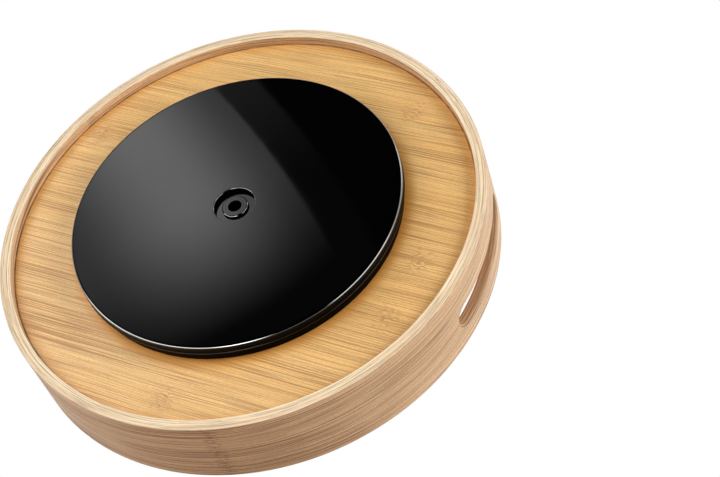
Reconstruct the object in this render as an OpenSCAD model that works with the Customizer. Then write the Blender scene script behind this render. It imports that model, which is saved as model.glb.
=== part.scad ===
// Lazy susan turntable: a round bamboo tray that turns on a low, black ball-bearing base.
// Modelled upright, as used: +Z up, the base standing on z = 0, the turning axis on the Z axis.

/* [Tray] */
// Outside diameter of the tray
tray_d = 305; // [280:1:360]
// Height of the hoop round the tray
hoop_h = 50; // [46:1:70]
// Thickness of each bent strip of the hoop
ply_t = 2.3; // [1.8:0.1:3]
// Height of the hoop's lower edge above the table
hoop_lift = 7.6; // [7.2:0.1:8]
// Depth from the hoop's lower edge up to the panel
panel_recess = 6.3; // [6.3:0.1:8]
// Thickness of the panel's two face sheets, each
face_t = 1; // [0.8:0.1:1.5]
// Thickness of the panel's core sheet
core_t = 2; // [2:0.1:4]
// How far the tongue round the panel's edge is let into the hoop
groove_depth = 1; // [0.5:0.1:1.5]

/* [Handle slots] */
// Length of the opening, round ends included
slot_len = 91; // [80:1:110]
// Height of the opening
slot_h = 15; // [12:0.5:18]
// Height of the opening's middle above the hoop's lower edge
slot_rise = 29; // [26:0.5:32]

/* [Strip joints] */
// Length along which the two ends of a strip overlap
scarf_len = 26; // [15:1:40]
// Width of the glue seam between the two ends
seam_gap = 0.2; // [0.1:0.05:0.4]
// Direction of the inner strip's joint
inner_seam = 85; // [60:1:120]
// Direction of the middle strip's joint
middle_seam = 320; // [300:1:330]
// Direction of the outer strip's joint
outer_seam = 225; // [215:1:260]

/* [Base] */
// Diameter of the black base
base_d = 207; // [190:1:240]
// How far the turning plate's rim lies inside the base's
plate_step = 1.9; // [0.6:0.1:2.4]
// Wall thickness of the two plates
shell_t = 2.2; // [1.8:0.1:2.4]
// Radius round the base's lower edge
edge_r = 1.5; // [0.5:0.1:2]
// Gap between the rims of the fixed and the turning plate
rim_gap = 0.6; // [0.4:0.1:1]
// Number of stiffening ribs in each plate
rib_count = 12; // [6:6:24]
// Thickness of a rib
rib_t = 1.6; // [1:0.1:2.5]
// Height of a rib above its plate
rib_h = 1.6; // [1:0.1:1.8]

/* [Bearing] */
// Ball diameter
ball_d = 6; // [5.5:0.1:6.2]
// Number of balls
ball_count = 24; // [12:1:36]
// Diameter of the circle that the balls run on
ball_ring_d = 160; // [140:1:170]
// Clearance between a ball and its track
ball_gap = 0.02; // [0.01:0.01:0.05]
// Width of a steel track
track_w = 7; // [6.5:0.5:8]
// Height of a steel track
track_h = 3; // [2.6:0.1:3.2]
// Thickness of the ball cage
cage_t = 2; // [1.5:0.1:2.2]
// Width of the ball cage
cage_w = 10; // [9:0.5:12]
// Clearance round a ball in the cage
pocket_gap = 0.15; // [0.1:0.05:0.3]

/* [Pivot] */
// Diameter of the recess round the pivot pin
recess_d = 25.5; // [22:0.5:30]
// Diameter of the pivot pin's flange
flange_d = 16.4; // [14:0.1:18]
// Thickness of the flange
flange_t = 1.9; // [1.2:0.1:2]
// Depth of the flange's face below the base's face
flange_inset = 1.5; // [1:0.1:1.5]
// Diameter of the pivot pin
pivot_d = 10; // [9:0.1:11]
// Diameter of the hole through the pivot pin
bore_d = 8.2; // [7:0.1:8.4]
// Clearance between the pin and its bush
running_gap = 0.05; // [0.02:0.01:0.1]
// Wall thickness of the bush
bush_t = 1.75; // [1:0.05:2]

/* [Screws] */
// Number of wood screws that hold the turning plate
screw_count = 6; // [3:1:6]
// Shank diameter
screw_d = 3; // [2.5:0.1:3.5]
// Length under the head
screw_len = 5.8; // [5:0.1:5.8]
// Diameter of the pan head
head_d = 6.4; // [5:0.1:7]
// Height of the pan head
head_h = 1.8; // [1.2:0.1:2]
// Diameter of the circle of screws
screw_ring_d = 100; // [80:1:120]

/* [Hidden] */
$fn = 180;
eps = 0.01;

// the tray, from the outside in and from the bottom up
tray_r = tray_d / 2;
hoop_top = hoop_lift + hoop_h;
inner_r = tray_r - 3 * ply_t;
panel_r = inner_r + groove_depth;
panel_z = hoop_lift + panel_recess;
core_z = panel_z + face_t;
top_sheet_z = core_z + core_t;
floor_z = top_sheet_z + face_t;
slot_z = hoop_lift + slot_rise;

// the bearing, mirrored about the plane of the ball centres
ball_z = panel_z / 2;
ball_ring_r = ball_ring_d / 2;
ball_r = ball_d / 2;
base_r = base_d / 2;
top_r = base_r - plate_step;
rim_top = ball_z - rim_gap / 2;
skirt_z = ball_z + rim_gap / 2;
seat_t = 1.8;
seat_h = rib_h + 0.2;
bite = 0.6;
boss_h = 0.8;
boss_d = 9;

// the pivot, from the table up
seat_z = flange_inset + flange_t;
hub_top = seat_z + shell_t;
axial_gap = 0.1;
washer_t = skirt_z - hub_top - axial_gap;
bush_flange_z = skirt_z + shell_t;
bush_flange_t = 0.5;
bush_flange_d = 18;
retainer_z = bush_flange_z + bush_flange_t + axial_gap;
retainer_t = 0.7;
barb_z = retainer_z + retainer_t;
barb_h = 1.4;
barb_grip = 0.7;
slit_w = 1.2;
well_d = 24;
well_cap_t = 1;
washer_d = 19;
retainer_d = 20;

// wood screws
head_z = panel_z - shell_t - boss_h;
drive_w = 0.8;
drive_len = 3.6;
drive_depth = 1;
tip_h = 1.2;

bamboo = [0.86, 0.66, 0.40];
bamboo_edge = [0.91, 0.80, 0.62];
bamboo_wall = [0.80, 0.64, 0.46];
gloss_black = [0.05, 0.05, 0.05];
satin_black = [0.10, 0.10, 0.10];
steel = [0.70, 0.71, 0.73];
nylon = [0.92, 0.91, 0.86];

// ---- shared shapes -----------------------------------------------------------------------

// A ring with a square section, its underside at height z
module ring(r_in, r_out, z, h) {
    translate([0, 0, z])
    difference() {
        cylinder(r = r_out, h = h);
        translate([0, 0, -eps])
        cylinder(r = r_in, h = h + 2 * eps);
    }
}

// Section of a ring, for turning about the Z axis
module band(r_in, r_out, z_low, z_high) {
    translate([r_in, z_low])
    square([r_out - r_in, z_high - z_low]);
}

// What rounding a corner of a section takes away. (x, z) is the middle of the arc,
// and side_x and side_z say on which side of it the corner lies.
module corner_waste(x, z, r, side_x, side_z) {
    difference() {
        translate([x + (side_x < 0 ? -r - eps : 0), z + (side_z < 0 ? -r - eps : 0)])
        square(r + eps);
        translate([x, z])
        circle(r = r);
    }
}

// Copies its children round the Z axis
module around(count, start = 0) {
    for (i = [0:count - 1])
        rotate([0, 0, start + i * 360 / count])
        children();
}

// ---- tray --------------------------------------------------------------------------------

// The two openings that a hand goes through, one at each end of the X axis
module slot_cuts() {
    half = slot_len / 2 - slot_h / 2;
    translate([0, 0, slot_z])
    rotate([0, 90, 0])
    for (side = [-1, 1])
        translate([0, 0, side > 0 ? inner_r - 20 : -tray_r - 10]) {
            for (end = [-1, 1])
                translate([0, end * half, 0])
                cylinder(d = slot_h, h = 40);
            translate([-slot_h / 2, -half, 0])
            cube([slot_h, 2 * half, 40]);
        }
}

// The slanting seam where the two ends of one strip overlap
module seam_cut(r_in, angle) {
    sweep = scarf_len / r_in * 180 / PI;
    a = [r_in * cos(angle), r_in * sin(angle)];
    b = [(r_in + ply_t) * cos(angle - sweep), (r_in + ply_t) * sin(angle - sweep)];
    along = (b - a) / norm(b - a);
    across = [-along[1], along[0]] * seam_gap / 2;
    reach = 8;
    translate([0, 0, hoop_lift - 1])
    linear_extrude(hoop_h + 2)
    polygon([
        a - reach * along - across, b + reach * along - across,
        b + reach * along + across, a - reach * along + across
    ]);
}

// One strip of the hoop. Strip 0 is the inner one.
module hoop_strip(index, seam_angle) {
    r_in = inner_r + index * ply_t;
    difference() {
        ring(r_in, r_in + ply_t, hoop_lift, hoop_h);
        slot_cuts();
        seam_cut(r_in, seam_angle);
    }
}

module hoop_inner_strip() {
    color(bamboo_wall)
    difference() {
        hoop_strip(0, inner_seam);
        translate([0, 0, panel_z])
        cylinder(r = panel_r, h = top_sheet_z - panel_z);
    }
}

module hoop_middle_strip() {
    color(bamboo_edge)
    hoop_strip(1, middle_seam);
}

module hoop_outer_strip() {
    color(bamboo_wall)
    hoop_strip(2, outer_seam);
}

module screw_holes(z, h) {
    around(screw_count)
    translate([screw_ring_d / 2, 0, z])
    cylinder(d = screw_d, h = h);
}

module panel_bottom_sheet() {
    color(bamboo)
    difference() {
        translate([0, 0, panel_z])
        cylinder(r = panel_r, h = face_t);
        screw_holes(panel_z - eps, face_t + 2 * eps);
    }
}

module panel_core() {
    color(bamboo_edge)
    difference() {
        translate([0, 0, core_z])
        cylinder(r = panel_r, h = core_t);
        screw_holes(core_z - eps, head_z + screw_len - core_z + eps);
    }
}

// The top sheet ends at the hoop's face; the two below it make the tongue
module panel_top_sheet() {
    color(bamboo)
    translate([0, 0, top_sheet_z])
    cylinder(r = inner_r, h = face_t);
}

// ---- turning plate -----------------------------------------------------------------------

// Radial ribs from the hub's wall to the rim's wall, reaching into both
module plate_ribs(z, h) {
    start = well_d / 2 + shell_t / 2;
    end = top_r - shell_t / 2;
    around(rib_count, 180 / rib_count)
    translate([start, -rib_t / 2, z])
    cube([end - start, rib_t, h]);
}

// The two low rims that hold a track between them
module track_seat(z, h) {
    for (edge = [ball_ring_r - track_w / 2 - seat_t, ball_ring_r + track_w / 2])
        ring(edge, edge + seat_t, z, h);
}

// Room for a track between its two rims
module track_room(z, h) {
    ring(ball_ring_r - track_w / 2, ball_ring_r + track_w / 2, z, h);
}

module top_plate() {
    face_z = panel_z - shell_t;
    color(satin_black)
    difference() {
        union() {
            rotate_extrude()
            difference() {
                union() {
                    band(well_d / 2, top_r, face_z, panel_z);
                    band(top_r - shell_t, top_r, skirt_z, panel_z);
                    band(well_d / 2, well_d / 2 + shell_t, skirt_z, panel_z);
                    band(pivot_d / 2 + running_gap + bush_t, well_d / 2 + shell_t, skirt_z, bush_flange_z);
                    band(0, well_d / 2, panel_z - well_cap_t, panel_z);
                }
                corner_waste(top_r - 0.4, skirt_z + 0.4, 0.4, 1, -1);
            }
            difference() {
                union() {
                    plate_ribs(face_z - rib_h, rib_h + bite);
                    track_seat(face_z - seat_h, seat_h + bite);
                }
                track_room(face_z - 5, 5);
            }
            around(screw_count)
            translate([screw_ring_d / 2, 0, head_z])
            cylinder(d = boss_d, h = boss_h + bite);
        }
        screw_holes(head_z - 1, panel_z - head_z + 2);
    }
}

module upper_track() {
    color(steel)
    rotate_extrude()
    difference() {
        band(ball_ring_r - track_w / 2, ball_ring_r + track_w / 2,
            panel_z - shell_t - track_h, panel_z - shell_t);
        translate([ball_ring_r, ball_z])
        circle(r = ball_r + ball_gap);
    }
}

module pivot_bush() {
    bush_in = pivot_d / 2 + running_gap;
    color(nylon)
    rotate_extrude()
    union() {
        band(bush_in, bush_in + bush_t, skirt_z, bush_flange_z + bush_flange_t);
        band(bush_in, bush_flange_d / 2, bush_flange_z, bush_flange_z + bush_flange_t);
    }
}

module wood_screw() {
    difference() {
        union() {
            rotate_extrude()
            difference() {
                band(0, head_d / 2, head_z - head_h, head_z);
                corner_waste(head_d / 2 - 0.9, head_z - head_h + 0.9, 0.9, 1, -1);
            }
            translate([0, 0, head_z])
            cylinder(d = screw_d, h = screw_len - tip_h);
            translate([0, 0, head_z + screw_len - tip_h])
            cylinder(d1 = screw_d, d2 = 0.6, h = tip_h);
        }
        for (turn = [0, 90])
            rotate([0, 0, turn])
            translate([-drive_len / 2, -drive_w / 2, head_z - head_h - eps])
            cube([drive_len, drive_w, drive_depth + eps]);
    }
}

module mounting_screws() {
    color(steel)
    around(screw_count)
    translate([screw_ring_d / 2, 0, 0])
    wood_screw();
}

// ---- balls and cage ----------------------------------------------------------------------

module bearing_balls() {
    color(steel)
    around(ball_count)
    translate([ball_ring_r, 0, ball_z])
    sphere(r = ball_r);
}

module ball_cage() {
    color(nylon)
    difference() {
        ring(ball_ring_r - cage_w / 2, ball_ring_r + cage_w / 2, ball_z - cage_t / 2, cage_t);
        around(ball_count)
        translate([ball_ring_r, 0, ball_z - cage_t])
        cylinder(r = ball_r + pocket_gap, h = 2 * cage_t);
    }
}

// ---- base --------------------------------------------------------------------------------

module base_plate() {
    recess_r = recess_d / 2;
    color(gloss_black)
    union() {
        rotate_extrude()
        difference() {
            union() {
                band(recess_r, base_r, 0, shell_t);
                band(base_r - shell_t, base_r, 0, rim_top);
                band(recess_r, recess_r + shell_t, 0, hub_top);
                band(pivot_d / 2, recess_r + shell_t, seat_z, hub_top);
            }
            corner_waste(base_r - edge_r, edge_r, edge_r, 1, -1);
            corner_waste(base_r - 0.4, rim_top - 0.4, 0.4, 1, 1);
            corner_waste(recess_r + 0.5, 0.5, 0.5, -1, -1);
        }
        difference() {
            union() {
                plate_ribs(shell_t - bite, rib_h + bite);
                track_seat(shell_t - bite, seat_h + bite);
            }
            track_room(shell_t, 5);
        }
    }
}

module lower_track() {
    color(steel)
    rotate_extrude()
    difference() {
        band(ball_ring_r - track_w / 2, ball_ring_r + track_w / 2, shell_t, shell_t + track_h);
        translate([ball_ring_r, ball_z])
        circle(r = ball_r + ball_gap);
    }
}

// The hollow pin that holds base and tray together: a flange below, and above it a
// tube whose slit end snaps out over the retaining washer
module pivot_pin() {
    flange_round = 0.8;
    bore_round = 0.5;
    color(gloss_black)
    difference() {
        rotate_extrude()
        difference() {
            union() {
                band(bore_d / 2, flange_d / 2, flange_inset, seat_z);
                band(bore_d / 2, pivot_d / 2, flange_inset, barb_z + barb_h);
                polygon([
                    [pivot_d / 2 - eps, barb_z], [pivot_d / 2 + barb_grip, barb_z],
                    [pivot_d / 2 + barb_grip, barb_z + 0.3], [pivot_d / 2 - eps, barb_z + barb_h]
                ]);
            }
            corner_waste(flange_d / 2 - flange_round, flange_inset + flange_round, flange_round, 1, -1);
            corner_waste(bore_d / 2 + bore_round, flange_inset + bore_round, bore_round, -1, -1);
        }
        for (turn = [0, 90])
            rotate([0, 0, turn])
            translate([-retainer_d, -slit_w / 2, bush_flange_z])
            cube([2 * retainer_d, slit_w, panel_z - bush_flange_z]);
    }
}

module thrust_washer() {
    color(nylon)
    ring(pivot_d / 2, washer_d / 2, hub_top, washer_t);
}

module retaining_washer() {
    color(steel)
    ring(pivot_d / 2, retainer_d / 2, retainer_z, retainer_t);
}

base_plate();
lower_track();
pivot_pin();
thrust_washer();
retaining_washer();
ball_cage();
bearing_balls();
top_plate();
upper_track();
pivot_bush();
mounting_screws();
panel_bottom_sheet();
panel_core();
panel_top_sheet();
hoop_inner_strip();
hoop_middle_strip();
hoop_outer_strip();
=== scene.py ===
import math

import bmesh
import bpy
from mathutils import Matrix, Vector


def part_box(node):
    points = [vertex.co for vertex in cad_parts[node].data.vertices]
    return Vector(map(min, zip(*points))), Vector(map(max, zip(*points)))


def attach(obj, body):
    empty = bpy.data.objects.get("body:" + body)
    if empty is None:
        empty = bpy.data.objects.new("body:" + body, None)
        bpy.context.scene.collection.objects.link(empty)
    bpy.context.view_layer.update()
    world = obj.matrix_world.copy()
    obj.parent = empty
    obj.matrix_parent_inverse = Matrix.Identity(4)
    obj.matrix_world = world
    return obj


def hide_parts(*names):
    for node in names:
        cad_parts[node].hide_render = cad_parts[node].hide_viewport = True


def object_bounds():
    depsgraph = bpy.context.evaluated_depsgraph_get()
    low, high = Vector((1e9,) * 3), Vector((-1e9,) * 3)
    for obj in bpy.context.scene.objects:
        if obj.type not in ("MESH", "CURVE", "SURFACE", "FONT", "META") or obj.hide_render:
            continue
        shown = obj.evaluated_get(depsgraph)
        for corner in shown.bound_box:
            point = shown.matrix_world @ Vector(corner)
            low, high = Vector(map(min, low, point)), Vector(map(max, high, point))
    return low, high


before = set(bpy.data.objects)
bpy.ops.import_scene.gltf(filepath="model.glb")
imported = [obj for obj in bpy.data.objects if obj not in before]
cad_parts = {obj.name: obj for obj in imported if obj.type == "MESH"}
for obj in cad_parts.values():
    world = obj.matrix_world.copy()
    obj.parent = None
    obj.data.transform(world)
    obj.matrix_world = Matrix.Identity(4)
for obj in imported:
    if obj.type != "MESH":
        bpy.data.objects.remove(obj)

# The looks of a bamboo lazy susan: a round tray with a bent three-strip hoop and two
# hand slots, on a low, glossy black turntable. Metres throughout, in the CAD's frame:
# +Z up, the turning axis on Z, the hand slots at both ends of X.

MM = 0.001
cad_low, cad_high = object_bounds()

# ---- sizes, from the frame ---------------------------------------------------------------

outer_low, outer_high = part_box("hoop_outer_strip")
TRAY_R = outer_high.x
RIM_LOW, RIM_HIGH = outer_low.z, outer_high.z
PLY = TRAY_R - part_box("hoop_middle_strip")[1].x
INNER_R = TRAY_R - 3 * PLY

base_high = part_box("base_plate")[1]
pin_low, pin_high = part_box("pivot_pin")
BASE_R, RIM_TOP = base_high.x, base_high.z
SHELL_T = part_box("lower_track")[0].z
HUB_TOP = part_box("thrust_washer")[0].z

# repeated from the CAD
EDGE_R = 1.5 * MM
RECESS_R, RECESS_DEPTH = 12.75 * MM, 3.4 * MM
PIN_R, BORE_R = 5.0 * MM, 4.1 * MM
SLIT_Z, SLIT_W = 9.45 * MM, 1.2 * MM
SLOT_LEN, SLOT_H = 91 * MM, 15 * MM
SLOT_Z = RIM_LOW + 29 * MM
SCARF_LEN = 26 * MM
SEAM_GAP = 0.2 * MM

SEAMS = {"inner": 85, "middle": 320, "outer": 225}  # degrees from the X axis to each strip's joint
GRAIN_TURN = 10  # degrees from the X axis to the panel's grain


# ---- node trees --------------------------------------------------------------------------

class Value:
    """A number in a node tree. The operators on it add math nodes."""

    def __init__(self, tree, socket):
        self.tree = tree
        self.socket = socket

    def __add__(self, other):
        return self.tree.math("ADD", self, other)

    def __sub__(self, other):
        return self.tree.math("SUBTRACT", self, other)

    def __mul__(self, other):
        return self.tree.math("MULTIPLY", self, other)

    def __rmul__(self, other):
        return self.tree.math("MULTIPLY", other, self)

    def __truediv__(self, other):
        return self.tree.math("DIVIDE", self, other)

    def __abs__(self):
        return self.tree.math("ABSOLUTE", self)

    def root(self):
        return self.tree.math("SQRT", self)

    def above(self, other):
        """The greater of two numbers."""
        return self.tree.math("MAXIMUM", self, other)

    def ramp(self, low, high, to_low=0.0, to_high=1.0):
        """A smooth step from to_low at low to to_high at high."""
        node = self.tree.add("MapRange", interpolation_type="SMOOTHSTEP", clamp=True)
        for socket, number in zip(node.inputs, (self, low, high, to_low, to_high)):
            self.tree.plug(socket, number)
        return Value(self.tree, node.outputs["Result"])


class Tree:
    """A short way to write the node tree of a material or of the world."""

    def __init__(self, owner):
        owner.use_nodes = True
        self.owner = owner
        self.nodes = owner.node_tree.nodes
        self.links = owner.node_tree.links

    def add(self, kind, **settings):
        node = self.nodes.new("ShaderNode" + kind)
        for key, value in settings.items():
            setattr(node, key, value)
        return node

    def plug(self, socket, value):
        if isinstance(value, Value):
            self.links.new(value.socket, socket)
        elif isinstance(value, bpy.types.NodeSocket):
            self.links.new(value, socket)
        elif isinstance(value, tuple) and len(value) == 3 and len(socket.default_value) == 4:
            socket.default_value = (*value, 1)
        elif value is not None:
            socket.default_value = value

    def math(self, operation, *values):
        node = self.add("Math", operation=operation)
        for socket, value in zip(node.inputs, values):
            self.plug(socket, value)
        return Value(self, node.outputs[0])

    def noise(self, x, y, z, detail=2.0):
        """Cloudy noise from 0 to 1, with one cloud to each unit of x, y and z."""
        place = self.add("CombineXYZ")
        for socket, value in zip(place.inputs, (x, y, z)):
            self.plug(socket, value)
        node = self.add("TexNoise", noise_dimensions="3D")
        self.plug(node.inputs["Vector"], place.outputs[0])
        node.inputs["Scale"].default_value = 1.0
        node.inputs["Detail"].default_value = detail
        return Value(self, node.outputs["Fac"])

    def mix(self, factor, a, b):
        """The colour a, turning into b as factor goes from 0 to 1."""
        node = self.add("Mix", data_type="RGBA", clamp_factor=True)
        for socket, value in zip((node.inputs[0], node.inputs[6], node.inputs[7]), (factor, a, b)):
            self.plug(socket, value)
        return node.outputs[2]

    def place(self, coordinates="Object", unit=MM):
        """x, y and z of the point, in millimetres unless unit says otherwise."""
        split = self.add("SeparateXYZ")
        self.plug(split.inputs[0], self.add("TexCoord").outputs[coordinates])
        return [Value(self, socket) / unit for socket in split.outputs]

    def bump(self, height, strength, distance):
        node = self.add("Bump")
        node.inputs["Strength"].default_value = strength
        node.inputs["Distance"].default_value = distance
        self.plug(node.inputs["Height"], height)
        return node.outputs[0]


def finished(tree, colour, roughness, normal, **fixed):
    """Plugs the parts of a surface into its shader and hands over the material. fixed
    are numbers that are the same all over it, with _ for each space in their names."""
    shader = tree.nodes["Principled BSDF"]
    tree.plug(shader.inputs["Base Color"], colour)
    tree.plug(shader.inputs["Roughness"], roughness)
    tree.plug(shader.inputs["Normal"], normal)
    for name, value in fixed.items():
        shader.inputs[name.replace("_", " ")].default_value = value
    return tree.owner


def new_tree(name):
    return Tree(bpy.data.materials.new(name))


def turned(x, y, degrees):
    """Coordinates along and across a direction in the XY plane."""
    c, s = math.cos(math.radians(degrees)), math.sin(math.radians(degrees))
    return x * c + y * s, y * c - x * s


# ---- bamboo ------------------------------------------------------------------------------

# light, middle, dark fibre, grey-green smudge, red-brown smudge
PANEL_PALETTE = (
    (0.840, 0.540, 0.215),
    (0.720, 0.410, 0.130),
    (0.220, 0.080, 0.018),
    (0.380, 0.300, 0.140),
    (0.450, 0.200, 0.120),
)
WALL_PALETTE = (
    (0.940, 0.655, 0.395),
    (0.730, 0.450, 0.238),
    (0.210, 0.090, 0.040),
    (0.500, 0.420, 0.270),
    (0.580, 0.320, 0.190),
)
RIM_PALETTE = (
    (0.930, 0.785, 0.600),
    (0.770, 0.585, 0.400),
    (0.300, 0.220, 0.130),
    (0.420, 0.420, 0.290),
    (0.700, 0.480, 0.340),
)

# light, middle, dark fibre, open pore
SLOT_PALETTE = (
    (0.560, 0.370, 0.230),
    (0.380, 0.225, 0.125),
    (0.120, 0.060, 0.030),
    (0.300, 0.200, 0.110),
)

# the orange of the panels' painted shade by the hoop and painted shadow round the base
ORANGE_SHADE = (0.58, 0.23, 0.025)
GLUE_BROWN = (0.12, 0.05, 0.018)
LACQUER = {"Specular_IOR_Level": 0.30, "Coat_Weight": 0.04}


def bamboo(tree, along, across, palette, seed, strength=1.0, knots=0.0):
    """Bamboo cut along its fibres: soft tone bands, grey-green and red-brown smudges,
    and fine dark fibre bundles that come in groups. knots is 1 where a culm's node
    crosses, which breaks the fibres into short dashes."""
    light, middle, dark, green, red = palette

    def streaks(layer, length, width, low, high, detail=1.0):
        cloud = tree.noise(along / length, across / width, seed + layer, detail)
        return cloud.ramp(low, high)

    bands = streaks(1, 210, 16, 0.34, 0.66)
    soft = streaks(2, 120, 2.0, 0.36, 0.66, detail=2)
    greens = streaks(3, 34, 0.9, 0.63, 0.69)
    reds = streaks(4, 40, 1.1, 0.62, 0.69)
    groups = streaks(5, 130, 7.0, 0.32, 0.62)
    bundles = streaks(6, 170, 0.75, 0.575, 0.605)
    threads = streaks(7, 80, 0.42, 0.53, 0.56)
    grain = streaks(8, 2.2, 0.40, 0.38, 0.62, detail=2)
    dashes = streaks(9, 4, 0.8, 0.54, 0.58)

    colour = tree.mix(bands * 0.35, light, middle)
    colour = tree.mix(soft * 0.28, colour, middle)
    colour = tree.mix(grain * 0.18, colour, dark)
    colour = tree.mix(reds * 0.35 * strength, colour, red)
    colour = tree.mix(greens * 0.45 * strength, colour, green)
    lines = bundles * groups.ramp(0, 1, 0.40, 0.95)
    lines = lines.above(threads * groups.ramp(0, 1, 0.45, 0.75))
    lines = lines.above(dashes * knots * 0.8)
    colour = tree.mix(knots * 0.08, colour, red)
    colour = tree.mix(lines * 0.64 * strength, colour, dark)
    return colour, lines


def panel_material(name, marks, seed, base_painted_shadow=0.0):
    """A face sheet, with a culm's node at each of marks and a darker glue line at the
    hoop, and painted shade: a deeper orange in the corner by the hoop, and a painted
    shadow that deepens its colour towards the black base by as much as the last argument says."""
    tree = new_tree(name)
    x, y = tree.place()[:2]
    along, across = turned(x, y, GRAIN_TURN)
    across = across + 4.0 * tree.noise(along / 110, across / 50, seed, detail=1)
    knots = 0.0
    for mark in marks:
        mark_along, mark_across = turned(*mark, GRAIN_TURN)
        u = (along - mark_along) / 12
        v = (across - mark_across - 2.5) / 15
        knots = (u * u + v * v).root().ramp(1.0, 0.2).above(knots)
    waves = tree.noise(along / 7, across / 5, seed + 9)
    across = across + (waves - 0.5) * 4.0 * knots
    colour, lines = bamboo(tree, along, across, PANEL_PALETTE, seed, knots=knots)
    radius = (x * x + y * y).root()
    # painted shade: the colour deepens to orange over the last 9 mm towards the hoop, where the corner is
    # shaded
    painted_shade_by_hoop = radius.ramp(INNER_R / MM - 9, INNER_R / MM) * 0.45
    # painted shadow: the colour deepens to orange round the black base, as a contact shadow would
    painted_shadow_by_base = radius.ramp(BASE_R / MM + 8, BASE_R / MM - 2) * base_painted_shadow
    colour = tree.mix(painted_shade_by_hoop.above(painted_shadow_by_base), colour, ORANGE_SHADE)
    glue = radius.ramp(INNER_R / MM - 1.3, INNER_R / MM - 0.5)
    gaps = tree.noise(x / 9, y / 9, seed).ramp(0.40, 0.60, 0.60, 0.92)
    colour = tree.mix(glue * gaps, colour, GLUE_BROWN)
    normal = tree.bump(lines, 0.25, -0.08 * MM)
    rough = lines.ramp(0, 1, 0.42, 0.56)
    return finished(tree, colour, rough, normal, **LACQUER, Coat_Roughness=0.25)


def round_the_hoop(tree, seam):
    """Millimetres along the hoop from the point opposite a strip's joint, the height and
    the radius."""
    x, y, z = tree.place()
    x2, y2 = turned(x, y, seam + 180)
    along = tree.math("ARCTAN2", y2, x2) * (TRAY_R / MM)
    return along, z, (x * x + y * y).root()


def wall_material(name, seam, seed, marks):
    """The face of a bent strip, with a culm's node at each of marks along it."""
    tree = new_tree(name)
    along, up = round_the_hoop(tree, seam)[:2]
    across = up + 6.0 * tree.noise(along / 90, up / 30, seed, detail=1)
    knots = 0.0
    for mark in marks:
        knots = abs(along - mark).ramp(7.0, 1.0).above(knots)
    colour, lines = bamboo(tree, along, across, WALL_PALETTE, seed, strength=1.4, knots=knots)
    normal = tree.bump(lines, 0.25, -0.08 * MM)
    rough = lines.ramp(0, 1, 0.42, 0.56)
    return finished(tree, colour, rough, normal, **LACQUER, Coat_Roughness=0.28)


def rim_material(name, seam, seed, tint, centre):
    """The cut edge of a bent strip, which shows the ends of its fibres as thin lines.
    centre is the radius of the strip's middle."""
    tree = new_tree(name)
    along, _, radius = round_the_hoop(tree, seam)
    light, middle, dark, green, red = [tuple(c * t for c, t in zip(colour, tint)) for colour in RIM_PALETTE]
    fine = tree.noise(along / 60, radius / 0.40, seed + 1).ramp(0.48, 0.58)
    broad = tree.noise(along / 90, radius / 0.9, seed + 2).ramp(0.42, 0.58)
    greens = tree.noise(along / 20, radius / 1.1, seed + 3).ramp(0.56, 0.66)
    reds = tree.noise(along / 60, radius / 0.9, seed + 4).ramp(0.55, 0.72)
    patches = tree.noise(along / 30, radius / 6, seed + 5).ramp(0.42, 0.60)
    glue = abs(radius - centre / MM).ramp(PLY / MM / 2 - 0.35, PLY / MM / 2 - 0.05)
    dashes = tree.noise(along / 12, radius / 1.4, seed + 6).ramp(0.50, 0.60)
    colour = tree.mix(broad * 0.8, light, middle)
    colour = tree.mix(reds * 0.35, colour, red)
    colour = tree.mix(greens * 0.5, colour, green)
    colour = tree.mix(fine * patches.ramp(0, 1, 0.25, 0.55), colour, dark)
    colour = tree.mix(glue * dashes.ramp(0, 1, 0.25, 0.70), colour, dark)
    rough = fine.ramp(0, 1, 0.50, 0.62)
    return finished(tree, colour, rough, tree.bump(fine, 0.2, -0.08 * MM), Specular_IOR_Level=0.25)


def slot_material(name, seam, seed):
    """The inside of a slot, sawn across the strips: brown, striped along each strip."""
    tree = new_tree(name)
    along, up, radius = round_the_hoop(tree, seam)
    light, middle, dark, pore = SLOT_PALETTE
    stripes = tree.noise(along / 60, radius / 0.9, up / 12 + seed).ramp(0.42, 0.60)
    threads = tree.noise(along / 30, radius / 0.45, up / 9 - seed).ramp(0.56, 0.64)
    pores = tree.noise(along / 1.2, radius / 0.5, up / 1.2 + seed).ramp(0.60, 0.72)
    colour = tree.mix(stripes, light, middle)
    colour = tree.mix(threads * 0.6, colour, dark)
    colour = tree.mix(pores * 0.3, colour, pore)
    return finished(tree, colour, 0.65, tree.bump(stripes, 0.3, -0.1 * MM), Specular_IOR_Level=0.2)


def core_material(name):
    """Raw bamboo with its grain across that of the face sheets."""
    tree = new_tree(name)
    x, y = tree.place()[:2]
    along, across = turned(x, y, GRAIN_TURN + 90)
    colour, lines = bamboo(tree, along, across, RIM_PALETTE, 40.0)
    return finished(tree, colour, 0.7, tree.bump(lines, 0.3, -0.1 * MM))


# ---- plastic and metal -------------------------------------------------------------------

def plastic_material(name, grey, gloss, dust, ripple, shine, ior=1.5):
    """Moulded plastic: faint flow clouds in its gloss, a fine haze, and hairline wear.
    gloss is its roughness, and shine how strongly it mirrors."""
    tree = new_tree(name)
    x, y, z = tree.place()
    cloud = tree.noise(x / 38, y / 30, z / 20, detail=3)
    grit = tree.noise(x / 0.6, y / 0.6, z / 0.6)
    scratch = tree.noise(x / 18, (y + x * 0.4) / 0.18, 3.3).ramp(0.72, 0.80)
    rough = cloud.ramp(0.3, 0.7, gloss * 0.8, gloss * 1.3) + scratch * 0.06
    shade = tree.mix(grit.ramp(0.62, 0.80) * dust, (grey, grey, grey), (0.05, 0.05, 0.05))
    normal = tree.bump(cloud, ripple, 0.5 * MM)
    return finished(tree, shade, rough, normal, Specular_IOR_Level=shine, IOR=ior)


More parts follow.
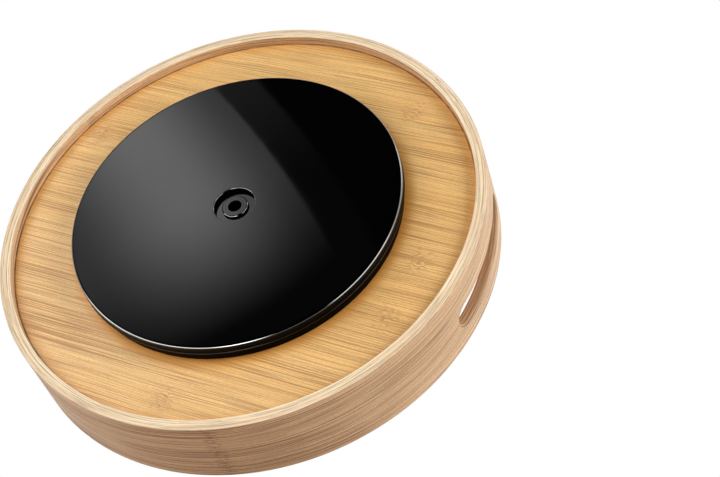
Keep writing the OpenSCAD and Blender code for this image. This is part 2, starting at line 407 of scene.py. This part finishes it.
def metal_material(name, colour, low, high, turning):
    """Bright metal with a roughness from low to high and fine tool marks, round the axis
    if turning, or else at random."""
    tree = new_tree(name)
    x, y, z = tree.place()
    radius = (x * x + y * y).root()
    marks = tree.noise(radius * 6, z * 6, 0.5, 4) if turning else tree.noise(x * 6, y * 6, z * 6, 4)
    stain = tree.noise(x / 6, y / 6, z / 6, detail=3).ramp(0.35, 0.7)
    shade = tree.mix(stain * 0.5, colour, tuple(0.8 * c for c in colour))
    rough = marks.ramp(0.3, 0.7, low, high)
    return finished(tree, shade, rough, tree.bump(marks, 0.12, 0.02 * MM), Metallic=1.0)


def nylon_material(name):
    """Natural nylon, a little cloudy."""
    tree = new_tree(name)
    x, y, z = tree.place()
    cloud = tree.noise(x / 9, y / 9, z / 9, detail=3)
    colour = tree.mix(cloud, (0.86, 0.84, 0.78), (0.76, 0.73, 0.64))
    rough = cloud.ramp(0.3, 0.7, 0.40, 0.55)
    return finished(tree, colour, rough, tree.bump(cloud, 0.1, 0.1 * MM), Subsurface_Weight=0.1)


# ---- mesh code ---------------------------------------------------------------------------

SHARP = 35


def arc(centre, radius, start, end, steps):
    """Points of an arc from start to end, in degrees, both of them included."""
    for i in range(steps + 1):
        a = math.radians(start + (end - start) * i / steps)
        yield (centre[0] + radius * math.cos(a), centre[1] + radius * math.sin(a))


def new_object(name, bm, materials):
    """An object of the mesh, smooth but for its edges of more than SHARP degrees."""
    mesh = bpy.data.meshes.new(name)
    bmesh.ops.remove_doubles(bm, verts=bm.verts, dist=1e-7)
    bmesh.ops.recalc_face_normals(bm, faces=bm.faces)
    for face in bm.faces:
        face.smooth = True
    bm.to_mesh(mesh)
    bm.free()
    mesh.set_sharp_from_angle(angle=math.radians(SHARP))
    for material in materials:
        mesh.materials.append(material)
    made = bpy.data.objects.new(name, mesh)
    bpy.context.scene.collection.objects.link(made)
    return made


def corner(r, z, radius, start, end, steps, finish):
    """The points of a rounded corner in an outline for lathe."""
    return [(*point, finish) for point in arc((r, z), radius, start, end, steps)]


def lathe(bm, outline, start=0, end=360, steps=360):
    """Turns a closed outline about the Z axis, all the way round or from start to end.
    Each of its points is (radius, height, place of the material from there on)."""
    whole = end - start == 360
    rings = []
    for i in range(steps if whole else steps + 1):
        a = math.radians(start + (end - start) * i / steps)
        rings.append([bm.verts.new((r * math.cos(a), r * math.sin(a), z)) for r, z, finish in outline])
    for ring, after in zip(rings, rings[1:] + rings[:1] if whole else rings[1:]):
        for k, (r, z, finish) in enumerate(outline):
            m = (k + 1) % len(outline)
            bm.faces.new((ring[k], after[k], after[m], ring[m])).material_index = finish
    if not whole:
        bm.faces.new(rings[0])
        bm.faces.new(rings[-1][::-1])


def bar(bm, start, end, angle, section, finish):
    """A straight bar that points away from the Z axis, with its (y, z) section closed."""
    c, s = math.cos(math.radians(angle)), math.sin(math.radians(angle))
    ends = []
    for x in (start, end):
        ends.append([bm.verts.new((x * c - y * s, x * s + y * c, z)) for y, z in section])
    for k in range(len(section)):
        m = (k + 1) % len(section)
        bm.faces.new((ends[0][k], ends[1][k], ends[1][m], ends[0][m])).material_index = finish
    bm.faces.new(ends[0][::-1]).material_index = finish
    bm.faces.new(ends[1]).material_index = finish


FACE, RIM, CUT = 0, 1, 2  # places of a strip's materials
COLUMNS = 360
ROWS = 16
CORNER_STEPS = 8
WINDOW = 21  # degrees to each side of a slot's middle that its own mesh takes up
TAPER = 17  # degrees over which a strip's columns lean towards its slanted ends
MARGIN = 0.35 * MM  # an even band round each slot's edge
BLEND = (0.3, 0.6, 0.85)  # shares of the way from a window's border to that band


def stadium(offset, along_steps, corner_steps, end_steps):
    """The slot's outline grown by offset, as (y, z) points that start at the lower left
    and run anticlockwise: bottom, right, top, left."""
    b = SLOT_H / 2 + offset
    c = SLOT_LEN / 2 - SLOT_H / 2
    straight = along_steps - 2 * corner_steps

    def on_arc(side, degrees):
        a = math.radians(degrees)
        return (side * c + b * math.cos(a), SLOT_Z + b * math.sin(a))

    points = []
    for i in range(corner_steps):
        points.append(on_arc(-1, 225 + 45 * i / corner_steps))
    for i in range(straight):
        points.append((-c + 2 * c * i / straight, SLOT_Z - b))
    for i in range(corner_steps):
        points.append(on_arc(1, 270 + 45 * i / corner_steps))
    for i in range(end_steps):
        points.append(on_arc(1, -45 + 90 * i / end_steps))
    for i in range(corner_steps):
        points.append(on_arc(1, 45 + 45 * i / corner_steps))
    for i in range(straight):
        points.append((c - 2 * c * i / straight, SLOT_Z + b))
    for i in range(corner_steps):
        points.append(on_arc(-1, 90 + 45 * i / corner_steps))
    for i in range(end_steps):
        points.append(on_arc(-1, 135 + 90 * i / end_steps))
    return points


def hoop_strip(name, index, seam, ease_in, ease_out, slot_in, slot_out, materials):
    """One bent strip. ease_in and ease_out round its rims, slot_in and slot_out the
    edges of its slots, on the side towards the axis and away from it."""
    r_in, r_out = INNER_R + index * PLY, INNER_R + (index + 1) * PLY
    sweep = SCARF_LEN / r_in
    gap = SEAM_GAP / PLY * sweep / 2
    low, high = RIM_LOW, RIM_HIGH

    # the section: up the outside, over the top, down the inside, under the bottom
    def rows(a, b):
        return [a + (b - a) * i / ROWS for i in range(ROWS + 1)]

    section = [(r_out, z, "out") for z in rows(low + ease_out, high - ease_out)]
    section += [(r, z, "top") for r, z in arc((r_out - ease_out, high - ease_out), ease_out, 0, 90, 5)][1:]
    section += [(r, z, "top") for r, z in arc((r_in + ease_in, high - ease_in), ease_in, 90, 180, 5)][:-1]
    section += [(r_in, z, "in") for z in rows(high - ease_in, low + ease_in)]
    section += [(r, z, "low") for r, z in arc((r_in + ease_in, low + ease_in), ease_in, 180, 270, 5)][1:]
    section += [(r, z, "low") for r, z in arc((r_out - ease_out, low + ease_out), ease_out, 270, 360, 5)][:-1]
    count = len(section)
    first_in = next(i for i, p in enumerate(section) if p[2] == "in")

    bm = bmesh.new()

    def lean(j):
        """How far a column leans: 1 at the strip's ends, 0 away from them."""
        near = min(j, COLUMNS - j) / TAPER
        return 0.0 if near >= 1 else (1 - near * near * (3 - 2 * near))

    def angle(j, r):
        w = lean(j)
        away = gap if j < COLUMNS / 2 else -gap
        share = (r - r_in) / PLY
        return math.radians(seam + 360 * j / COLUMNS) - sweep * w * share + away * w

    grid = []
    for j in range(COLUMNS + 1):
        column = []
        for r, z, side in section:
            a = angle(j, r)
            column.append(bm.verts.new((r * math.cos(a), r * math.sin(a), z)))
        grid.append(column)

    def in_window(j):
        middle = (seam + 360 * (j + 0.5) / COLUMNS) % 180
        return min(middle, 180 - middle) < WINDOW

    for j in range(COLUMNS):
        for k in range(count):
            after = (k + 1) % count
            side = section[k][2]
            wall = side in ("in", "out") and section[after][2] == side
            if wall and in_window(j):
                continue
            face = bm.faces.new((grid[j][k], grid[j + 1][k], grid[j + 1][after], grid[j][after]))
            face.material_index = FACE if wall else RIM
    for j, turn in ((0, 1), (COLUMNS, -1)):
        bm.faces.new(grid[j][::turn]).material_index = RIM

    # the two slots
    for facing in (0, 180):
        middle = int(round((facing - seam) % 360))
        left, right = middle - WINDOW, middle + WINDOW
        sign = 1 if facing == 0 else -1

        def on_cylinder(y, z, r):
            return bm.verts.new((sign * math.sqrt(r * r - y * y), sign * y, z))

        outlines = {}
        for side, r, ease in (("out", r_out, slot_out), ("in", r_in, slot_in)):
            base = 0 if side == "out" else first_in
            level = [base + i for i in range(ROWS + 1)]
            if side == "in":
                level.reverse()
            frame_loop = [grid[j][level[0]] for j in range(left, right)]
            frame_loop += [grid[right][level[i]] for i in range(ROWS)]
            frame_loop += [grid[j][level[ROWS]] for j in range(right, left, -1)]
            frame_loop += [grid[left][level[i]] for i in range(ROWS, 0, -1)]
            rim = stadium(ease, 2 * WINDOW, CORNER_STEPS, ROWS)
            near = stadium(ease + MARGIN, 2 * WINDOW, CORNER_STEPS, ROWS)
            loops = [frame_loop]
            for share in BLEND:
                ring = []
                for vert, (y, z) in zip(frame_loop, near):
                    y0 = sign * vert.co.y
                    ring.append(on_cylinder(y0 + (y - y0) * share, vert.co.z + (z - vert.co.z) * share, r))
                loops.append(ring)
            loops.append([on_cylinder(y, z, r) for y, z in near])
            loops.append([on_cylinder(y, z, r) for y, z in rim])
            on_face = len(loops) - 1
            steps = 6 if ease > 0.5 * MM else 2
            inward = -1 if side == "out" else 1
            for i in range(1, steps + 1):
                a = math.radians(90 * i / steps)
                points = stadium(ease * (1 - math.sin(a)), 2 * WINDOW, CORNER_STEPS, ROWS)
                deep = r + inward * ease * (1 - math.cos(a))
                loops.append([on_cylinder(y, z, deep) for y, z in points])
            for n, (outer, inner) in enumerate(zip(loops, loops[1:])):
                for i in range(len(outer)):
                    h = (i + 1) % len(outer)
                    face = bm.faces.new((outer[i], outer[h], inner[h], inner[i]))
                    face.material_index = FACE if n < on_face else CUT
            outlines[side] = loops[-1]
        outer, inner = outlines["out"], outlines["in"]
        for i in range(len(outer)):
            h = (i + 1) % len(outer)
            bm.faces.new((outer[i], outer[h], inner[h], inner[i])).material_index = CUT
    return new_object(name, bm, materials)


# ---- the tray ----------------------------------------------------------------------------

RIM_TINTS = {"inner": (1.03, 1.03, 1.0), "middle": (0.98, 0.96, 0.88), "outer": (0.91, 0.865, 0.81)}
STRIPS = (
    # name, place, rim rounding and slot rounding towards the axis and away from it
    ("inner", 0, 0.45, 0.12, 1.5, 0.1),
    ("middle", 1, 0.12, 0.12, 0.1, 0.1),
    ("outer", 2, 0.12, 0.55, 0.1, 1.5),
)
for name, index, ease_in, ease_out, slot_in, slot_out in STRIPS:
    seam = SEAMS[name]
    marks = (-150 + 120 * index, 260)
    centre = INNER_R + (index + 0.5) * PLY
    materials = (
        wall_material(f"bamboo_wall_{name}", seam, 11.0 * index, marks),
        rim_material(f"bamboo_rim_{name}", seam, 60 + 7.0 * index, RIM_TINTS[name], centre),
        slot_material(f"bamboo_slot_{name}", seam, 90.0 + index),
    )
    strip = hoop_strip(
        f"hoop_{name}_strip_bent", index, seam, ease_in * MM, ease_out * MM,
        slot_in * MM, slot_out * MM, materials,
    )
    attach(strip, "tray")
    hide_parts(f"hoop_{name}_strip")


# ---- the base ----------------------------------------------------------------------------

POLISHED, TEXTURED, SMOOTH, BRIGHT = 0, 1, 2, 3  # places of the moulded pieces' materials
BRIGHT_START = 24  # degrees into a rounding
BEAD_R = 0.45 * MM
WALL_IN = 0.3 * MM  # how far the base's wall lies inside its edge and its bead
HUB_WALL = 2.2 * MM
RECESS_EDGE, FLANGE_EDGE, BORE_EDGE = 0.5 * MM, 0.8 * MM, 0.25 * MM
GROOVE_R = 5.8 * MM
RIB_COUNT = 12
RIB_SECTION = [
    (y * MM, z * MM)
    for y, z in ((-0.8, 1.6), (0.8, 1.6), (0.8, 2.2), (0.65, 3.8), (-0.65, 3.8), (-0.8, 2.2))
]
RIB_RUNS = ((13.1 * MM, 75.6 * MM), (84.4 * MM, 100.5 * MM))
TRACK_SEATS = ((74.7 * MM, 76.5 * MM), (83.5 * MM, 85.3 * MM))
SEAT_LOW, SEAT_HIGH = 1.6 * MM, 4.0 * MM


def polished_edge(r, z, radius, start, bright_end=66):
    """A quarter round without its last point. From BRIGHT_START to bright_end, degrees
    into it, it has the brighter gloss."""
    points = []
    for low, high, finish in (
        (0, BRIGHT_START, POLISHED),
        (BRIGHT_START, bright_end, BRIGHT),
        (bright_end, 90, POLISHED),
    ):
        steps = (high - low) // 6
        points += corner(r, z, radius, start + low, start + high, steps, finish)[:-1]
    return points


def base_shell(bm):
    """The base's plate with its rounded edge, wall, bead and hub, and the recess in its
    middle. The two points beside each rounding keep the polished face flat."""
    flat = 0.2 * MM
    wall_r = BASE_R - WALL_IN
    edge_r = RECESS_R + RECESS_EDGE
    outline = [(BASE_R - EDGE_R - flat, 0, POLISHED)]
    outline += polished_edge(BASE_R - EDGE_R, EDGE_R, EDGE_R, 270)
    outline += [
        (BASE_R, EDGE_R, TEXTURED),
        (wall_r, EDGE_R + 0.9 * MM, TEXTURED),
        (wall_r, RIM_TOP - 1.1 * MM, TEXTURED),
    ]
    outline += corner(BASE_R - BEAD_R, RIM_TOP - BEAD_R, BEAD_R, -60, 90, 12, SMOOTH)
    outline += [
        (BASE_R - SHELL_T, RIM_TOP, TEXTURED),
        (BASE_R - SHELL_T, SHELL_T, TEXTURED),
        (RECESS_R + HUB_WALL, SHELL_T, TEXTURED),
        (RECESS_R + HUB_WALL, HUB_TOP, TEXTURED),
        (PIN_R, HUB_TOP, TEXTURED),
        (PIN_R, RECESS_DEPTH, POLISHED),
        (RECESS_R, RECESS_DEPTH, POLISHED),
    ]
    outline += polished_edge(edge_r, RECESS_EDGE, RECESS_EDGE, 180, bright_end=84)
    outline += [(edge_r, 0, POLISHED), (edge_r + flat, 0, POLISHED)]
    lathe(bm, outline, steps=720)


def base_ribs(bm):
    """The stiffening ribs on the plate's upper side and the two rims round the track."""
    for i in range(RIB_COUNT):
        angle = (i + 0.5) * 360 / RIB_COUNT
        for start, end in RIB_RUNS:
            bar(bm, start, end, angle, RIB_SECTION, TEXTURED)
    for r_in, r_out in TRACK_SEATS:
        ends = ((r_in, SEAT_LOW), (r_out, SEAT_LOW), (r_out, SEAT_HIGH), (r_in, SEAT_HIGH))
        lathe(bm, [(r, z, TEXTURED) for r, z in ends])


def pin(bm):
    """The hollow pin: a flange with a fine groove, a tube, and four fingers with barbs."""
    low, top = pin_low.z, pin_high.z
    flange_r, flange_top = pin_high.x, RECESS_DEPTH
    flat = 0.1 * MM
    outline = [(flange_r - FLANGE_EDGE - flat, low, POLISHED)]
    outline += polished_edge(flange_r - FLANGE_EDGE, low + FLANGE_EDGE, FLANGE_EDGE, 270)
    outline += [
        (flange_r, low + FLANGE_EDGE, POLISHED),
        (flange_r, flange_top, POLISHED),
        (PIN_R, flange_top, POLISHED),
        (PIN_R, SLIT_Z, POLISHED),
        (BORE_R, SLIT_Z, POLISHED),
    ]
    outline += corner(BORE_R + BORE_EDGE, low + BORE_EDGE, BORE_EDGE, 180, 270, 6, POLISHED)
    outline.append((BORE_R + BORE_EDGE + flat, low, POLISHED))
    for r, depth in ((-0.2, 0), (-0.12, 0.1), (0.12, 0.1), (0.2, 0)):
        outline.append((GROOVE_R + r * MM, low + depth * MM, POLISHED))
    lathe(bm, outline, steps=240)
    barb_r = PIN_R + 0.7 * MM
    finger = (
        (BORE_R, SLIT_Z),
        (PIN_R, SLIT_Z),
        (PIN_R, top - 1.4 * MM),
        (barb_r, top - 1.4 * MM),
        (barb_r, top - 1.1 * MM),
        (PIN_R, top),
        (BORE_R, top),
    )
    half = math.degrees(math.asin(SLIT_W / 2 / PIN_R))
    for i in range(4):
        lathe(bm, [(r, z, POLISHED) for r, z in finger], 90 * i + half, 90 * (i + 1) - half, 24)


gloss = plastic_material("black_gloss_plastic", 0.0005, 0.035, 0.015, 0.02, 0.25)
textured = plastic_material("black_textured_plastic", 0.0015, 0.30, 0.02, 0.05, 0.03)
smooth = plastic_material("black_smooth_plastic", 0.0015, 0.06, 0.02, 0.02, 0.45)
bright = plastic_material("black_bright_plastic", 0.0005, 0.035, 0.015, 0.02, 1.0, ior=3.0)
polished_pieces = bpy.data.collections.new("polished_pieces")
for name, node, shapes in (
    ("base_plate_moulded", "base_plate", (base_shell, base_ribs)),
    ("pivot_pin_moulded", "pivot_pin", (pin,)),
):
    bm = bmesh.new()
    for shape in shapes:
        shape(bm)
    piece = new_object(name, bm, (gloss, textured, smooth, bright))
    polished_pieces.objects.link(piece)
    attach(piece, "base")
    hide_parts(node)


# ---- materials of the CAD's own pieces ---------------------------------------------------

# millimetres from the axis to the culms' nodes, along X and Y
MARKS_BELOW = ((-5, 128), (110, 62), (120, 20), (87, -92), (-120, -60))
MARKS_ABOVE = ((40, 60), (-75, 10), (20, -85), (-60, 95))

satin = plastic_material("black_satin_plastic", 0.0012, 0.40, 0.02, 0.05, 0.05)
track = metal_material("pressed_steel", (0.55, 0.56, 0.57), 0.18, 0.34, True)
zinc = metal_material("zinc_plate", (0.62, 0.63, 0.64), 0.22, 0.40, False)
ball = metal_material("polished_steel", (0.72, 0.72, 0.73), 0.03, 0.08, False)
nylon = nylon_material("white_nylon")
# 0.75 is the strength of the painted shadow round the base on the lower sheet
below = panel_material("bamboo_panel_below", MARKS_BELOW, 3.0, 0.75)
above = panel_material("bamboo_panel_above", MARKS_ABOVE, 23.0)
core = core_material("bamboo_core_raw")

FINISHES = {
    "top_plate": satin,
    "lower_track": track,
    "upper_track": track,
    "bearing_balls": ball,
    "retaining_washer": zinc,
    "mounting_screws": zinc,
    "ball_cage": nylon,
    "pivot_bush": nylon,
    "thrust_washer": nylon,
    "panel_bottom_sheet": below,
    "panel_core": core,
    "panel_top_sheet": above,
}
for node, material in FINISHES.items():
    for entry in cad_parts[node].material_slots:
        entry.material = material
sheen_pieces = bpy.data.collections.new("sheen_pieces")
sheen_pieces.objects.link(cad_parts["panel_bottom_sheet"])


# ---- studio ------------------------------------------------------------------------------

MIRROR_SCALE = 2.385  # the soft box's size against its mirror image on the base
MIRROR_PLACE = (-0.564, -0.747, -1.0)
SOFTBOX_R = 0.27
STRIP_R = 1.2
STRIP_LOW, STRIP_HIGH = -0.9, -0.32
STRIP_STEPS = 24
FLOOR_GLOW = 0.38
FLOOR_GREY = (0.42, 0.415, 0.405)

scene = bpy.context.scene
scene.view_settings.view_transform = "Standard"

camera_data = bpy.data.cameras.new("camera")
camera = bpy.data.objects.new("camera", camera_data)
camera.location = (0.4069, 0.5393, -0.7200)
camera.rotation_euler = [math.radians(a) for a in (-141.543, -13.359, -15.439)]
camera_data.sensor_width = 36
camera_data.lens = 82.0
camera_data.clip_start = 0.01
camera_data.clip_end = 50
scene.collection.objects.link(camera)
scene.camera = camera


def studio_world():
    """White behind everything. What lights the object is white above and round the
    horizon, dimmer on the +Y side, and dark below, so that the black base stays black."""
    world = bpy.data.worlds.new("studio")
    tree = Tree(world)
    _, y, z = tree.place("Generated", 1)
    strength = z.ramp(-0.45, 0.05, 0.0, 0.85) * y.ramp(-0.5, 0.9, 1.0, 0.30)
    lights = tree.nodes["Background"]
    tree.plug(lights.inputs["Color"], (1.0, 1.0, 1.0))
    tree.plug(lights.inputs["Strength"], strength)
    backdrop = tree.add("Background")
    tree.plug(backdrop.inputs["Color"], (1.0, 1.0, 1.0))
    choose = tree.add("MixShader")
    tree.plug(choose.inputs[0], tree.add("LightPath").outputs["Is Camera Ray"])
    tree.plug(choose.inputs[1], lights.outputs[0])
    tree.plug(choose.inputs[2], backdrop.outputs[0])
    tree.plug(tree.nodes["World Output"].inputs["Surface"], choose.outputs[0])
    return world


def area_light(name, place, size, brightness, colour=(1, 1, 1), glossy=False, receivers=None):
    """A square lamp that faces the tray. brightness is what it gives a white surface
    that faces it at the tray. Unless glossy, polished surfaces don't mirror it. With
    receivers, it only gives a sheen to them."""
    data = bpy.data.lights.new(name, "AREA")
    data.size = size
    data.energy = brightness * math.pi ** 2 * Vector(place).length_squared
    data.color = colour
    lamp = bpy.data.objects.new(name, data)
    lamp.location = place
    lamp.rotation_euler = (-Vector(place)).to_track_quat("-Z", "Y").to_euler()
    lamp.visible_glossy = glossy
    if receivers:
        lamp.visible_diffuse = False
        lamp.light_linking.receiver_collection = receivers
    scene.collection.objects.link(lamp)


def staged(name, bm, material, **visible):
    """A stage piece that isn't part of the object."""
    mesh = bpy.data.meshes.new(name)
    bm.to_mesh(mesh)
    bm.free()
    mesh.materials.append(material)
    made = bpy.data.objects.new(name, mesh)
    scene.collection.objects.link(made)
    for ray, seen in visible.items():
        setattr(made, "visible_" + ray, seen)
    return made


def mirrored_lamp(name, bm, paint):
    """A lamp that only the base's polished pieces mirror, and that lights nothing else.
    It shines as strongly as paint(tree) says."""
    tree = new_tree(name + "_glow")
    glow = tree.add("Emission")
    tree.plug(glow.inputs["Strength"], paint(tree))
    tree.plug(tree.nodes["Material Output"].inputs["Surface"], glow.outputs[0])
    lamp = staged(name, bm, tree.owner, camera=False, diffuse=False, shadow=False, transmission=False)
    lamp.light_linking.receiver_collection = polished_pieces
    return lamp


def softbox_glow(tree):
    """The lamp that the base's polished face mirrors: a straight edge with a dimmer
    strip beyond it, strongest a third of the way in, and fading towards its far end.
    x and y are millimetres on the base where the camera sees the point mirrored."""
    x, y = tree.place()[:2]
    along, across = turned(x / MIRROR_SCALE, y / MIRROR_SCALE, 45)
    inward = across + 37 - (along + 30) * (along + 30) * 0.0006
    lamp = inward.ramp(0, 58, 0.28, 1.0) * inward.ramp(62, 135, 1.0, 0.26) * inward.ramp(-0.8, 0.8)
    lamp = lamp * along.ramp(88, -25)
    spill = inward.ramp(-25, -22) * along.ramp(20, -110, 0.009, 0.075)
    return lamp.above(spill) * 4.4


def front_glow(x, y):
    """Strongest about x = 0.15 m, weaker towards -X, and gone at the +X end."""
    return x.ramp(-0.25, 0.1, 2.0, 4.9) * x.ramp(0.58, 0.2)


def right_glow(x, y):
    """Even but for a weaker part about y = -0.78 m, and gone at the +Y end."""
    return abs(y + 0.78).ramp(0.1, 0.42, 0.42, 1.8) * y.ramp(0.62, 0.45)


def strip_lamp(name, start, end, glow):
    """A low, curved lamp between two directions round the tray, in degrees, as strong
    as glow(x, y) says. The base's rounded edge mirrors it as a thin line."""
    columns = []
    bm = bmesh.new()
    for x, y in arc((0, 0), STRIP_R, start, end, STRIP_STEPS):
        columns.append((bm.verts.new((x, y, STRIP_LOW)), bm.verts.new((x, y, STRIP_HIGH))))
    for (a, b), (c, d) in zip(columns, columns[1:]):
        bm.faces.new((a, c, d, b))
    mirrored_lamp(name, bm, lambda tree: glow(*tree.place("Object", 1)[:2]))


def floor_material():
    """Seen and lit from above only, so that the view from below shows the underside. It
    shines a little, which softens the colour that the tray casts on it."""
    tree = new_tree("pale_floor")
    pale = tree.add("AddShader")
    shine = tree.add("Emission")
    tree.plug(shine.inputs["Strength"], FLOOR_GLOW)
    tree.plug(pale.inputs[0], tree.nodes["Principled BSDF"].outputs[0])
    tree.plug(pale.inputs[1], shine.outputs[0])
    choose = tree.add("MixShader")
    tree.plug(choose.inputs[0], tree.add("NewGeometry").outputs["Backfacing"])
    tree.plug(choose.inputs[1], pale.outputs[0])
    tree.plug(choose.inputs[2], tree.add("BsdfTransparent").outputs[0])
    tree.plug(tree.nodes["Material Output"].inputs["Surface"], choose.outputs[0])
    return finished(tree, FLOOR_GREY, 0.8, None)


scene.world = studio_world()
area_light("key_below", (-0.25, 0.30, -1.3), 1.0, 0.57)
area_light("fill_right", (1.3, -0.3, -0.7), 0.8, 0.88)
area_light("fill_left", (-1.2, 0.3, -0.9), 0.8, 0.43)
area_light("sheen", (-0.45, -0.15, -0.50), 0.35, 0.52, glossy=True, receivers=sheen_pieces)
area_light("warm_bounce", (0.1, 1.4, -0.5), 0.8, 0.20, (1.0, 0.56, 0.28))
area_light("key_above", (-0.9, -1.1, 1.8), 1.0, 0.55, glossy=True)

bm = bmesh.new()
bmesh.ops.create_circle(bm, segments=72, radius=SOFTBOX_R, cap_ends=True)
mirrored_lamp("softbox", bm, softbox_glow).location = MIRROR_PLACE

strip_lamp("strip_lamp_front", 60, 178, front_glow)
strip_lamp("strip_lamp_right", -75, 32, right_glow)

bm = bmesh.new()
bmesh.ops.create_grid(bm, x_segments=1, y_segments=1, size=3.0)
floor = staged("floor", bm, floor_material(), shadow=False, diffuse=False, glossy=False)
floor.location.z = cad_low.z - 0.3 * MM
